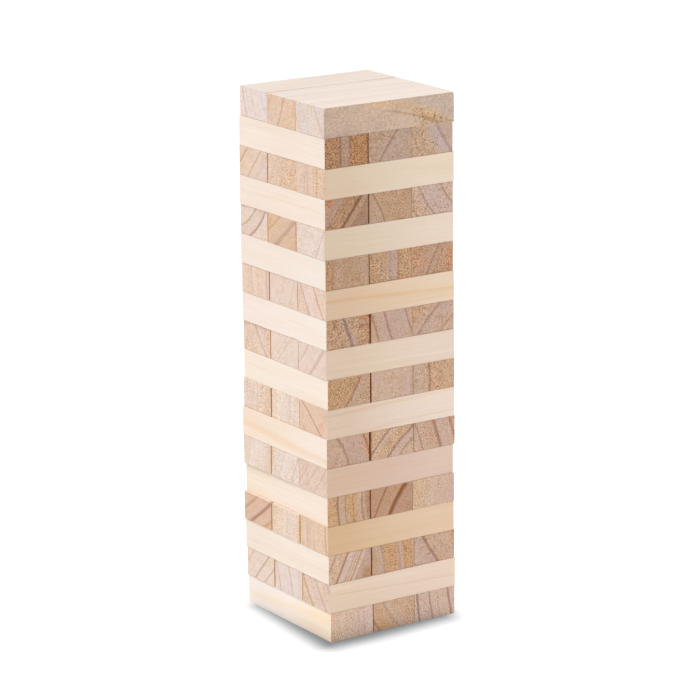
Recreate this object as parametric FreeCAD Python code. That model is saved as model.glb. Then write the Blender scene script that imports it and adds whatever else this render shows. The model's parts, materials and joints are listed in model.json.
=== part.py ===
import FreeCAD, Part
import math
import os

# Giant tumbling tower: loose rectangular wooden blocks stacked in layers.
# Three blocks lie side by side in each layer, and each layer is turned a
# quarter turn on the one below, so that any block can be pushed out along
# its own length between the layers above and below it.
#
# Millimetres and degrees. +Z is up. The origin is on the ground, under the
# middle of the stack's plan outline. -Y is called the front, -X the left.

# ---- driving dimensions -------------------------------------------------
BLOCK_LENGTH = 190.0        # along the grain, the same as the stack is wide
BLOCK_THICKNESS = 37.2      # height of one lying block
LAYER_CLEARANCE = 0.15      # running clearance between two layers
EDGE_CHAMFER = 0.5          # broken arris on all twelve edges of a block
LANE_START = -BLOCK_LENGTH / 2.0

LAYER_PITCH = BLOCK_THICKNESS + LAYER_CLEARANCE

# ---- the hand-stacked layers, bottom first ------------------------------
# number of the layer,
# the way its blocks run ("X" left to right, "Y" front to back),
# the layer's shift along X and Y from the stack's middle line,
# its turn about +Z, because no layer is set down quite square,
# where its first block starts across the layer,
# widths and gaps across the layer: block, gap, block, gap, block
#   (blocks along Y: counted from the left; blocks along X: from the front),
# how far each block is pushed along its own length (+X or +Y).
LAYERS = [
    (1, "Y", 1.51, -0.57, 0.28, 0.3, (63.0, 1.5, 62.3, 0.5, 61.6), (-0.8, 0.2, 0.3)),
    (2, "X", 0.60, -0.27, 0.32, -0.6, (61.4, 0.8, 62.6, 1.7, 63.0), (0.2, 0.0, -0.2)),
    (3, "Y", -0.33, 0.09, 0.42, 0.3, (63.1, 1.6, 63.4, 0.9, 61.7), (0.1, -0.3, 0.2)),
    (4, "X", -0.96, 0.16, 0.27, -0.3, (62.4, 1.5, 62.6, 2.2, 62.5), (0.4, -0.1, -0.3)),
    (5, "Y", 0.53, -0.29, -0.38, 0.1, (62.4, 1.8, 62.2, 0.7, 62.6), (-0.2, 0.2, 0.0)),
    (6, "X", -1.47, 1.01, 0.57, -0.6, (62.2, 0.6, 62.3, 2.4, 62.7), (0.1, 0.2, 0.2)),
    (7, "Y", -1.60, 0.09, 0.68, 0.2, (62.9, 2.5, 63.4, 1.6, 61.9), (1.2, -0.2, 0.1)),
    (8, "X", -0.07, -0.45, 0.45, 0.3, (62.6, 1.0, 62.2, 2.3, 62.3), (0.0, 0.3, -0.2)),
    (9, "Y", 0.42, -0.17, 0.38, 0.0, (62.3, 2.5, 62.6, 0.6, 61.9), (-0.3, 0.2, 0.3)),
    (10, "X", 0.08, -0.18, -0.09, 0.2, (62.6, 1.0, 62.4, 2.1, 62.2), (0.1, 0.4, 0.7)),
    (11, "Y", -0.33, 0.23, 0.29, 0.3, (63.1, 2.3, 61.4, 0.5, 62.3), (0.2, -0.4, 0.1)),
    (12, "X", -0.55, 0.14, 0.29, -0.2, (62.3, 1.3, 62.2, 2.4, 62.0), (0.1, 0.3, 0.1)),
    (13, "Y", -1.32, 0.79, 0.49, 0.4, (63.4, 1.3, 62.1, 0.5, 62.3), (-0.1, 0.3, 0.0)),
    (14, "X", -1.17, 0.98, 0.09, -0.4, (62.3, 1.4, 62.2, 2.3, 62.1), (0.2, 0.1, 0.6)),
    (15, "Y", -1.25, 1.02, 0.64, 0.3, (63.1, 1.5, 62.2, 0.5, 61.9), (0.2, 0.0, -0.3)),
    (16, "X", -0.45, 0.22, 0.65, 0.3, (63.1, 0.7, 62.8, 1.4, 62.4), (-0.2, 0.3, -0.3)),
    (17, "Y", -0.74, 0.78, 0.58, 0.1, (62.6, 1.0, 62.2, 0.6, 62.3), (0.1, -0.3, 0.3)),
    (18, "X", -0.41, 0.48, 0.05, -0.3, (62.4, 0.4, 62.6, 1.6, 62.6), (0.0, -0.3, 0.6)),
]

# names of the three places across a layer
PLACES = {"Y": ("left", "middle", "right"), "X": ("front", "middle", "back")}


def block(length, width, thickness):
    """One sawn block along +X, its arrises broken by a small flat."""
    solid = Part.makeBox(length, width, thickness)
    return solid.makeChamfer(EDGE_CHAMFER, solid.Edges)


def place(solid, along, start, across, height, turn, shift_x, shift_y):
    """Lays a block in its lane of a layer and turns it with the layer."""
    if along == "Y":
        # a quarter turn puts the block's length along +Y
        solid.rotate(FreeCAD.Vector(0, 0, 0), FreeCAD.Vector(0, 0, 1), 90)
        solid.translate(FreeCAD.Vector(across[1], start, height))
    else:
        solid.translate(FreeCAD.Vector(start, across[0], height))
    solid.rotate(FreeCAD.Vector(0, 0, 0), FreeCAD.Vector(0, 0, 1), turn)
    solid.translate(FreeCAD.Vector(shift_x, shift_y, 0))
    return solid


solids = []
for number, along, shift_x, shift_y, turn, first, across, pushes in LAYERS:
    height = (number - 1) * LAYER_PITCH
    low = LANE_START + first
    for index in range(3):
        width = across[2 * index]
        high = low + width
        name = "layer%02d_%s_block" % (number, PLACES[along][index])
        shape = block(BLOCK_LENGTH, width, BLOCK_THICKNESS)
        shape = place(shape, along, LANE_START + pushes[index], (low, high),
                      height, turn, shift_x, shift_y)
        solids.append((name, shape))
        if index < 2:
            low = high + across[2 * index + 1]

# centre the whole stack's plan outline on the origin
boxes = [shape.BoundBox for name, shape in solids]
middle_x = (min(b.XMin for b in boxes) + max(b.XMax for b in boxes)) / 2.0
middle_y = (min(b.YMin for b in boxes) + max(b.YMax for b in boxes)) / 2.0

os.makedirs("parts", exist_ok=True)
for name, shape in solids:
    shape.translate(FreeCAD.Vector(-middle_x, -middle_y, 0))
    if not shape.isValid() or len(shape.Solids) != 1:
        raise RuntimeError("bad solid: " + name)
    shape.exportStep("parts/" + name + ".step")

size_x = max(b.XMax for b in boxes) - min(b.XMin for b in boxes)
size_y = max(b.YMax for b in boxes) - min(b.YMin for b in boxes)
size_z = max(b.ZMax for b in boxes)
print("blocks", len(solids), "stack %.2f x %.2f x %.2f mm" % (size_x, size_y, size_z),
      "shift", round(-middle_x, 4), round(-middle_y, 4))
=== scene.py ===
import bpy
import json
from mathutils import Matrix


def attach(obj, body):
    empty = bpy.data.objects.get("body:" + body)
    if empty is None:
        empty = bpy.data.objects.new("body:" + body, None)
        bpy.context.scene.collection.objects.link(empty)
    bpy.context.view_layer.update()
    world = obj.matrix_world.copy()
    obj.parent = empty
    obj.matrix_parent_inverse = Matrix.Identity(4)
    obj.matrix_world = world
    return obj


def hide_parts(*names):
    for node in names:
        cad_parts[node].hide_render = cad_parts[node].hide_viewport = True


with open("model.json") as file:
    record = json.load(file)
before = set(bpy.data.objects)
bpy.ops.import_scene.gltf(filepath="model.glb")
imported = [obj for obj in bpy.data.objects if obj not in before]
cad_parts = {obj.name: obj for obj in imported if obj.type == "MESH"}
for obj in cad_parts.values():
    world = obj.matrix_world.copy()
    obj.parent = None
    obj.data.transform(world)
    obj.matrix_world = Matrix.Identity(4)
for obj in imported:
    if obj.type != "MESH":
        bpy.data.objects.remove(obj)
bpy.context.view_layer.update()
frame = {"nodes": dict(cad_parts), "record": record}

import json
import math
import random

import bpy
import numpy as np
from mathutils import Matrix, Vector

# ------------------------------------------------------------------ design
# Growth rings of each block, seen on the end that faces the front or the
# left: the direction across the rings in degrees from the right, the rings'
# curvature (1/mm), and each ring's distance from the block's middle in mm,
# its width in mm and how dark it is.
RINGS = {
    "layer01_left": (1, 0, [(9.2, 2, 0.2), (17.8, 2, 0.25)]),
    "layer01_middle": (35, -0.0082, [(-29.7, 2.4, 0.5), (-6.5, 3, 0.3)]),
    "layer01_right": (10, -0.0042, [(-25.7, 2.8, 0.9), (-6.3, 2.8, 0.55), (4.5, 1.8, 0.3), (21.3, 2.6, 0.85)]),
    "layer02_middle": (16, 0.0037, [(-20.5, 2.2, 0.4), (6.6, 2.5, 0.4)]),
    "layer02_front": (35, -0.0023, [(-15.9, 2.6, 0.65), (8.3, 2.6, 0.5), (29.5, 2, 0.45)]),
    "layer02_back": (-42, 0.0004, [(-23, 2, 0.3), (1.8, 2.2, 0.65), (18.5, 1.8, 0.6)]),
    "layer03_left": (-27, 0.0029, [(-8.9, 2.6, 0.9), (2.4, 1.5, 0.45), (6.2, 1.4, 0.4), (10.4, 2.2, 0.6), (16.5, 1.6, 0.4), (-25.6, 2.4, 0.5)]),
    "layer03_middle": (7, 0.01, [(-14.2, 2, 0.35), (9.2, 2, 0.3), (17, 2, 0.3)]),
    "layer03_right": (32, -0.0012, [(-5.8, 3.2, 0.75)]),
    "layer04_middle": (-2, 0, [(4, 3, 0.15)]),
    "layer04_front": (4, -0.0074, [(-16.9, 2.2, 0.35), (-11.9, 2, 0.2), (24.7, 2, 0.5)]),
    "layer04_back": (-54, 0.0019, [(-13.7, 3.5, 0.5), (6.9, 4, 0.9), (25.3, 3, 0.45)]),
    "layer05_left": (5, -0.0089, [(-16.3, 2.4, 0.8), (-5.0, 1.6, 0.45), (5.5, 1.5, 0.4), (18.5, 2.6, 0.65), (24, 1.8, 0.4), (28.4, 2, 0.5)]),
    "layer05_middle": (-30, -0.007, [(4.6, 5.5, 1.0), (-16.1, 2.2, 0.7)]),
    "layer05_right": (-14, 0, [(4.4, 2.2, 0.2)]),
    "layer06_middle": (-23, -0.0045, [(19.7, 2, 0.35), (-8.4, 2, 0.2)]),
    "layer06_front": (-38, 0.0024, [(-18, 2, 0.25), (-3.5, 2, 0.25), (12.2, 2, 0.25)]),
    "layer06_back": (-9, 0, [(-17.3, 4, 0.1)]),
    "layer07_left": (23, 0.0115, [(-5.1, 2.8, 0.6), (28.7, 2.4, 0.8)]),
    "layer07_middle": (-46, -0.0045, [(-15.1, 2.8, 0.75), (7.8, 3.2, 0.7), (20.5, 2.2, 0.5)]),
    "layer07_right": (20, 0.0031, [(-21.5, 2, 0.55), (3.8, 4, 0.8), (27.1, 3, 0.7)]),
    "layer08_middle": (-3, -0.0002, [(-22.4, 2.5, 0.12), (9.7, 3, 0.15)]),
    "layer08_front": (49, 0.0011, [(-2, 2.4, 0.6)]),
    "layer08_back": (1, 0, [(-10.1, 3, 0.12)]),
    "layer09_left": (-35, 0.0108, [(7.9, 2.4, 0.65)]),
    "layer09_middle": (-7, 0, [(27.9, 2, 0.3)]),
    "layer09_right": (4, 0.001, [(-7, 3, 0.65)]),
    "layer10_middle": (-41, 0.0003, [(-0.5, 2.5, 0.2)]),
    "layer10_front": (-41, 0.001, [(-16.2, 2, 0.35), (9, 4, 0.4)]),
    "layer10_back": (37, -0.0033, [(6.4, 2.2, 0.5)]),
    "layer11_left": (22, 0.0006, [(0.5, 4, 0.72), (-12.5, 1.8, 0.3)]),
    "layer11_middle": (19, -0.0048, [(-24.5, 2.6, 0.6), (-5.7, 3, 0.65), (24.2, 2.4, 0.6)]),
    "layer11_right": (-46, -0.006, [(-6.6, 2.8, 0.5), (19.8, 2.4, 0.45)]),
    "layer12_middle": (-22, 0, [(17.7, 2, 0.2)]),
    "layer12_front": (30, -0.0029, [(-14.5, 2.2, 0.5), (11.1, 2.4, 0.55)]),
    "layer12_back": (0, 0, [(26.8, 2, 0.4), (-8, 3, 0.2)]),
    "layer13_left": (-1, 0, [(-22.1, 3, 0.35)]),
    "layer13_middle": (-1, -0.0039, [(11.1, 2.2, 0.55), (-1.7, 4, 0.2)]),
    "layer13_right": (-27, 0, [(1.3, 2.2, 0.6), (9.5, 1.8, 0.35)]),
    "layer14_middle": (-51, 0.0006, [(-17.4, 2.2, 0.35), (5.8, 5, 0.4)]),
    "layer14_front": (-31, 0.0067, [(18.7, 2, 0.35)]),
    "layer14_back": (-49, 0.0095, [(-9.6, 2.2, 0.6), (8.5, 2.6, 0.85)]),
    "layer15_left": (-39, 0.0004, [(5.4, 3.6, 0.95), (-8.7, 2, 0.3), (-13.2, 1.6, 0.3), (15.5, 2, 0.35)]),
    "layer15_middle": (24, 0.0078, [(-14.7, 2.2, 0.6)]),
    "layer15_right": (33, -0.0041, [(-8.6, 2.2, 0.55), (19.4, 2.2, 0.6)]),
    "layer16_middle": (-27, 0, [(-15.7, 4, 0.15)]),
    "layer16_front": (1, -0.0001, [(-7.2, 2, 0.2), (12.5, 2, 0.25)]),
    "layer16_back": (-39, -0.0003, [(-22.1, 2, 0.55), (0.9, 2.2, 0.4)]),
    "layer17_left": (1, 0, [(-9.2, 2.5, 0.55), (4.5, 2, 0.35)]),
    "layer17_middle": (-38, -0.0051, [(-2.6, 2.4, 0.6)]),
    "layer17_right": (29, -0.0027, [(14.5, 3.5, 0.45), (-22, 2.5, 0.35)]),
    "layer18_middle": (-21, 0.0067, [(-27.4, 2, 0.3), (0.2, 3, 0.4)]),
    "layer18_front": (31, -0.0008, [(16.2, 2.5, 0.25), (-9.2, 2, 0.15)]),
    "layer18_back": (21, -0.0102, [(-20.7, 2, 0.45), (-1.7, 3, 0.15)]),
}

# Colour of each block's sawn end, as a linear albedo. The bottom layer's ends are in part painted light: lighter than
# their own colour, to make up for the shade at the tower's foot.
END_TONE = {
    # the bottom layer: painted lighter to make up for part of the shade at the foot
    "layer01_left": (0.833, 0.614, 0.484),
    "layer01_middle": (0.737, 0.512, 0.375),
    "layer01_right": (0.754, 0.552, 0.435),
    "layer02_middle": (0.719, 0.592, 0.525),
    "layer02_front": (0.695, 0.529, 0.420),
    "layer02_back": (0.723, 0.580, 0.486),
    "layer03_left": (0.737, 0.534, 0.399),
    "layer03_middle": (0.624, 0.424, 0.302),
    "layer03_right": (0.646, 0.448, 0.342),
    "layer04_middle": (0.751, 0.595, 0.469),
    "layer04_front": (0.698, 0.521, 0.387),
    "layer04_back": (0.641, 0.450, 0.324),
    "layer05_left": (0.636, 0.433, 0.282),
    "layer05_middle": (0.561, 0.336, 0.208),
    "layer05_right": (0.693, 0.502, 0.387),
    "layer06_middle": (0.730, 0.598, 0.517),
    "layer06_front": (0.692, 0.524, 0.428),
    "layer06_back": (0.737, 0.602, 0.513),
    "layer07_left": (0.619, 0.419, 0.307),
    "layer07_middle": (0.661, 0.482, 0.379),
    "layer07_right": (0.636, 0.439, 0.340),
    "layer08_middle": (0.760, 0.624, 0.525),
    "layer08_front": (0.703, 0.502, 0.379),
    "layer08_back": (0.724, 0.571, 0.470),
    "layer09_left": (0.585, 0.396, 0.268),
    "layer09_middle": (0.647, 0.451, 0.339),
    "layer09_right": (0.606, 0.426, 0.319),
    "layer10_middle": (0.736, 0.587, 0.492),
    "layer10_front": (0.718, 0.568, 0.481),
    "layer10_back": (0.715, 0.546, 0.438),
    "layer11_left": (0.568, 0.389, 0.297),
    "layer11_middle": (0.607, 0.415, 0.312),
    "layer11_right": (0.602, 0.411, 0.312),
    "layer12_middle": (0.724, 0.570, 0.477),
    "layer12_front": (0.729, 0.572, 0.476),
    "layer12_back": (0.724, 0.558, 0.447),
    "layer13_left": (0.534, 0.351, 0.235),
    "layer13_middle": (0.577, 0.392, 0.276),
    "layer13_right": (0.551, 0.350, 0.238),
    "layer14_middle": (0.660, 0.465, 0.320),
    "layer14_front": (0.725, 0.586, 0.507),
    "layer14_back": (0.707, 0.555, 0.451),
    "layer15_left": (0.513, 0.325, 0.221),
    "layer15_middle": (0.559, 0.369, 0.247),
    "layer15_right": (0.628, 0.458, 0.373),
    "layer16_middle": (0.690, 0.504, 0.378),
    "layer16_front": (0.698, 0.519, 0.395),
    "layer16_back": (0.717, 0.553, 0.437),
    "layer17_left": (0.472, 0.273, 0.159),
    "layer17_middle": (0.538, 0.374, 0.284),
    "layer17_right": (0.588, 0.437, 0.367),
    "layer18_middle": (0.704, 0.519, 0.396),
    "layer18_front": (0.716, 0.594, 0.514),
    "layer18_back": (0.738, 0.625, 0.574),
}

# Colour of each block's planed long sides. Where three are given, towards the left end, the middle and the right end,
# the drift between them is partly the board's own colour and partly painted light: along the tower's front face the
# sides are painted lighter towards the right, where more light falls.
SIDE_TONE = {
    "layer01_left": [(0.830, 0.731, 0.659), (0.879, 0.768, 0.692), (0.901, 0.738, 0.580)],
    "layer01_middle": [(0.806, 0.677, 0.568)],
    "layer01_right": [(0.819, 0.681, 0.593), (0.806, 0.677, 0.572), (0.778, 0.670, 0.529)],
    "layer02_middle": [(0.838, 0.720, 0.584)],
    "layer02_front": [(0.860, 0.678, 0.531), (0.873, 0.699, 0.575), (0.876, 0.690, 0.562)],
    "layer02_back": [(0.795, 0.651, 0.569), (0.813, 0.683, 0.594), (0.822, 0.699, 0.607)],
    "layer03_left": [(0.791, 0.673, 0.571), (0.817, 0.691, 0.600), (0.811, 0.700, 0.604)],
    "layer03_middle": [(0.835, 0.695, 0.585)],
    "layer03_right": [(0.813, 0.699, 0.610), (0.806, 0.683, 0.593), (0.793, 0.652, 0.559)],
    "layer04_middle": [(0.823, 0.688, 0.607)],
    "layer04_front": [(0.743, 0.494, 0.296), (0.782, 0.572, 0.378), (0.825, 0.606, 0.436)],
    "layer04_back": [(0.816, 0.678, 0.569), (0.844, 0.704, 0.616), (0.857, 0.717, 0.638)],
    "layer05_left": [(0.809, 0.679, 0.548), (0.813, 0.681, 0.583), (0.813, 0.672, 0.560)],
    "layer05_middle": [(0.840, 0.721, 0.584)],
    "layer05_right": [(0.842, 0.726, 0.619), (0.841, 0.714, 0.601), (0.838, 0.688, 0.563)],
    "layer06_middle": [(0.811, 0.696, 0.588)],
    "layer06_front": [(0.727, 0.515, 0.383), (0.738, 0.524, 0.421), (0.761, 0.574, 0.473)],
    "layer06_back": [(0.845, 0.719, 0.604), (0.838, 0.704, 0.592), (0.826, 0.674, 0.569)],
    "layer07_left": [(0.805, 0.650, 0.519), (0.813, 0.672, 0.546), (0.822, 0.707, 0.617)],
    "layer07_middle": [(0.822, 0.692, 0.601)],
    "layer07_right": [(0.804, 0.696, 0.570), (0.824, 0.709, 0.597), (0.835, 0.716, 0.610)],
    "layer08_middle": [(0.807, 0.671, 0.594)],
    "layer08_front": [(0.778, 0.605, 0.483), (0.839, 0.686, 0.577), (0.872, 0.729, 0.628)],
    "layer08_back": [(0.778, 0.655, 0.529), (0.804, 0.673, 0.565), (0.817, 0.682, 0.582)],
    "layer09_left": [(0.811, 0.688, 0.573), (0.818, 0.698, 0.592), (0.832, 0.710, 0.608)],
    "layer09_middle": [(0.827, 0.694, 0.607)],
    "layer09_right": [(0.839, 0.723, 0.588), (0.829, 0.706, 0.581), (0.809, 0.673, 0.568)],
    "layer10_middle": [(0.848, 0.720, 0.618)],
    "layer10_front": [(0.775, 0.607, 0.475), (0.801, 0.646, 0.507), (0.814, 0.666, 0.550)],
    "layer10_back": [(0.815, 0.662, 0.564), (0.836, 0.696, 0.590), (0.847, 0.712, 0.603)],
    "layer11_left": [(0.819, 0.686, 0.611), (0.822, 0.709, 0.625), (0.826, 0.715, 0.629)],
    "layer11_middle": [(0.807, 0.694, 0.596)],
    "layer11_right": [(0.786, 0.674, 0.524), (0.804, 0.684, 0.556), (0.813, 0.689, 0.572)],
    "layer12_middle": [(0.851, 0.717, 0.636)],
    "layer12_front": [(0.741, 0.538, 0.374), (0.789, 0.594, 0.425), (0.816, 0.644, 0.487)],
    "layer12_back": [(0.816, 0.702, 0.600), (0.816, 0.692, 0.584), (0.816, 0.673, 0.551)],
    "layer13_left": [(0.796, 0.686, 0.592), (0.807, 0.687, 0.595), (0.804, 0.701, 0.616)],
    "layer13_middle": [(0.847, 0.711, 0.612)],
    "layer13_right": [(0.820, 0.694, 0.545), (0.843, 0.716, 0.583), (0.854, 0.727, 0.601)],
    "layer14_middle": [(0.804, 0.686, 0.586)],
    "layer14_front": [(0.756, 0.600, 0.454), (0.783, 0.643, 0.507), (0.830, 0.692, 0.572)],
    "layer14_back": [(0.825, 0.720, 0.589), (0.822, 0.706, 0.583), (0.816, 0.678, 0.571)],
    "layer15_left": [(0.803, 0.680, 0.585), (0.823, 0.680, 0.583), (0.818, 0.691, 0.589)],
    "layer15_middle": [(0.834, 0.696, 0.594)],
    "layer15_right": [(0.815, 0.665, 0.567), (0.827, 0.689, 0.598), (0.833, 0.701, 0.614)],
    "layer16_middle": [(0.849, 0.717, 0.606)],
    "layer16_front": [(0.753, 0.586, 0.434), (0.802, 0.657, 0.512), (0.836, 0.696, 0.555)],
    "layer16_back": [(0.829, 0.698, 0.594), (0.816, 0.682, 0.584), (0.790, 0.650, 0.563)],
    "layer17_left": [(0.820, 0.707, 0.614), (0.806, 0.672, 0.572), (0.814, 0.696, 0.603)],
    "layer17_middle": [(0.818, 0.703, 0.610)],
    "layer17_right": [(0.809, 0.683, 0.590), (0.802, 0.678, 0.573), (0.788, 0.668, 0.540)],
    "layer18_middle": [(0.907, 0.789, 0.708)],
    "layer18_front": [(0.916, 0.797, 0.715)],
    "layer18_back": [(0.893, 0.777, 0.697)],
}

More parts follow.
